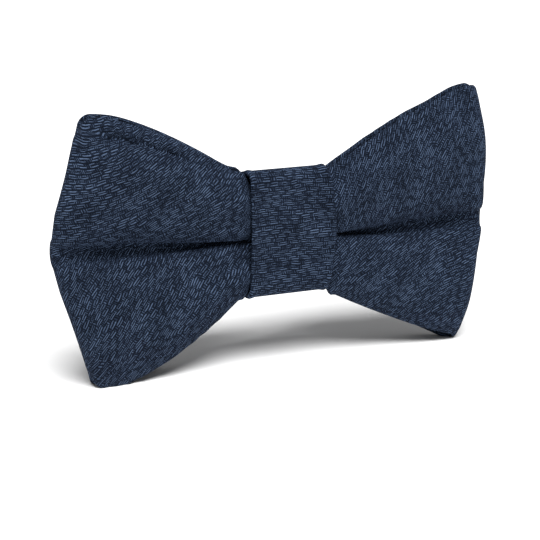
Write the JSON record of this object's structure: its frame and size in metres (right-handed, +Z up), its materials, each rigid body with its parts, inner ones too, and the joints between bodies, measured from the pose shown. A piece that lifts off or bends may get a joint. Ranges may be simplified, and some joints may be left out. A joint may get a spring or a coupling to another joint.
{
  "type": "bow tie",
  "caption": "Pre-tied bow tie: two looped cloth wings pleated at a wrapped knot, with an adjustable hook-and-eye neck band folded behind",
  "frame": {"origin": "on the surface that the bow stands on, under the middle of its bounding box", "axes": "+X to the viewer's right along the wings, the knot's front faces -Y, +Z up"},
  "size_m": [0.1172, 0.0238, 0.0674],
  "materials": {
    "navy_hopsack": "matte",
    "canvas": "matte",
    "navy_thread": "satin",
    "navy_band_cotton": "matte",
    "nickel_steel": "satin"
  },
  "bodies": {
    "bow": {"bow_sleeve": "navy_hopsack", "bow_interlining": "canvas", "waist_binding": "navy_thread", "knot_band": "navy_hopsack", "knot_interlining": "canvas", "knot_whip_stitch": "navy_thread"},
    "band": {"neck_band": "navy_band_cotton", "band_return": "navy_band_cotton"},
    "adjuster": {"adjuster": "nickel_steel"},
    "hook": {"hook": "nickel_steel"},
    "eye": {"eye": "nickel_steel"}
  },
  "joints": [
    {"name": "band_slide", "type": "slide", "parent": "bow", "child": "band", "axis": [1, 0, 0], "range_m": [-0.0025, 0.0025]},
    {"name": "adjuster_slide", "type": "slide", "parent": "band", "child": "adjuster", "axis": [1, 0, 0], "range_m": [-0.005, 0.008], "deforming": ["band_return"]},
    {"name": "hook_pivot", "type": "hinge", "parent": "band", "child": "hook", "pos_m": [-0.0152, 0.00887, 0.0342], "axis": [0, 0, 1], "range_deg": [0, 75]},
    {"name": "eye_pivot", "type": "hinge", "parent": "band", "child": "eye", "pos_m": [0.0152, 0.00887, 0.0342], "axis": [0, 0, -1], "range_deg": [0, 75]}
  ]
}
